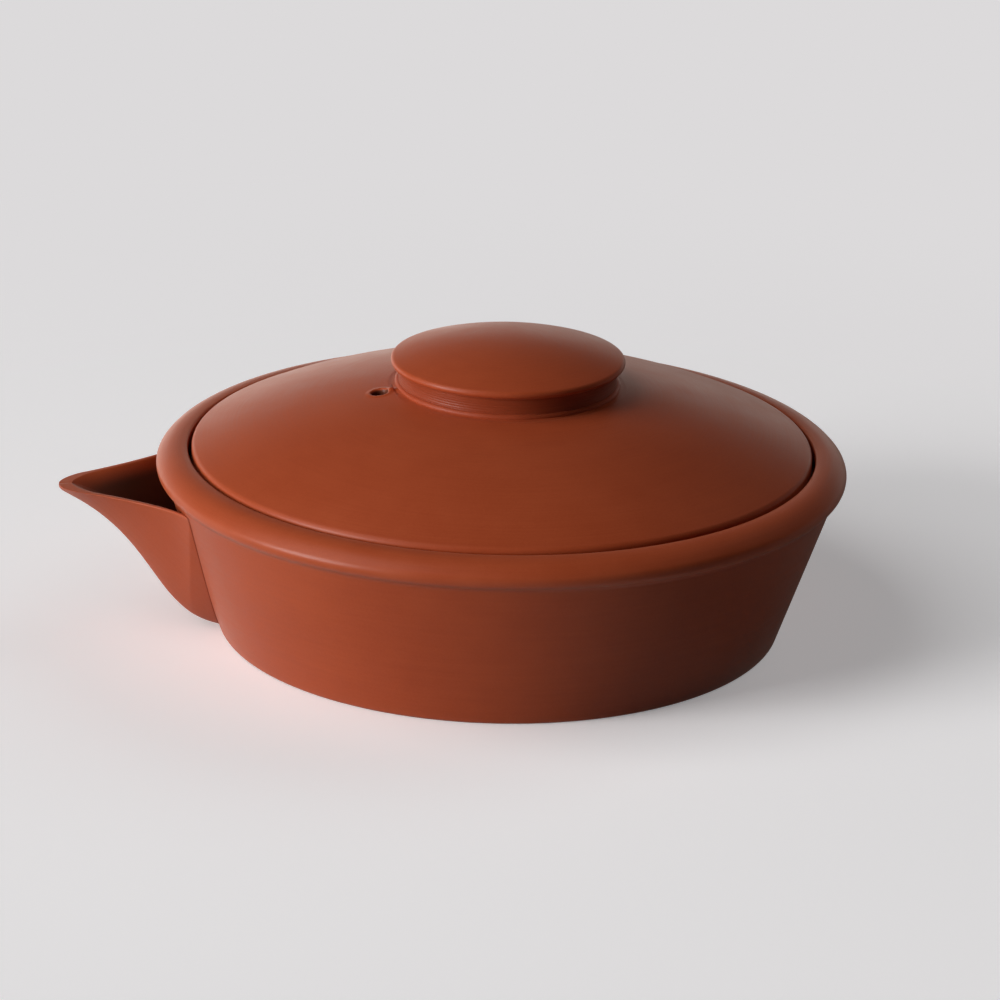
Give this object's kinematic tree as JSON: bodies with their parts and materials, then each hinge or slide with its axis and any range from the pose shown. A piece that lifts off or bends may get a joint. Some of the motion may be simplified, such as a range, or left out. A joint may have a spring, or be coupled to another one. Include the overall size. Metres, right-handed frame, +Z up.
{
  "type": "handleless teapot",
  "caption": "Low round handleless teapot in unglazed red clay, with an open pouring spout, a pierced strainer behind it and a loose inset domed lid with a wide flat knob.",
  "frame": {"origin": "on the pot's axis, in the plane of the flat base that it stands on", "axes": "+Z up along the axis of the bowl and the lid, -X towards the tip of the spout, +Y to complete the set"},
  "size_m": [0.1323, 0.116, 0.05],
  "materials": {
    "red_clay": "satin, burnished, unglazed",
    "raw_clay": "matt, unburnished",
    "slip": "matt"
  },
  "bodies": {
    "pot": {"bowl": "red_clay", "spout": "red_clay", "spout_slip_seam": "slip", "strainer": "raw_clay", "strainer_slip_ring": "slip"},
    "lid_and_knob": {"lid": "red_clay", "knob": "red_clay", "knob_slip_bead": "slip"}
  },
  "joints": [
    {"name": "lid_lift", "type": "slide", "parent": "pot", "child": "lid_and_knob", "axis": [0, 0, 1], "range_m": [0, 0.06]}
  ]
}
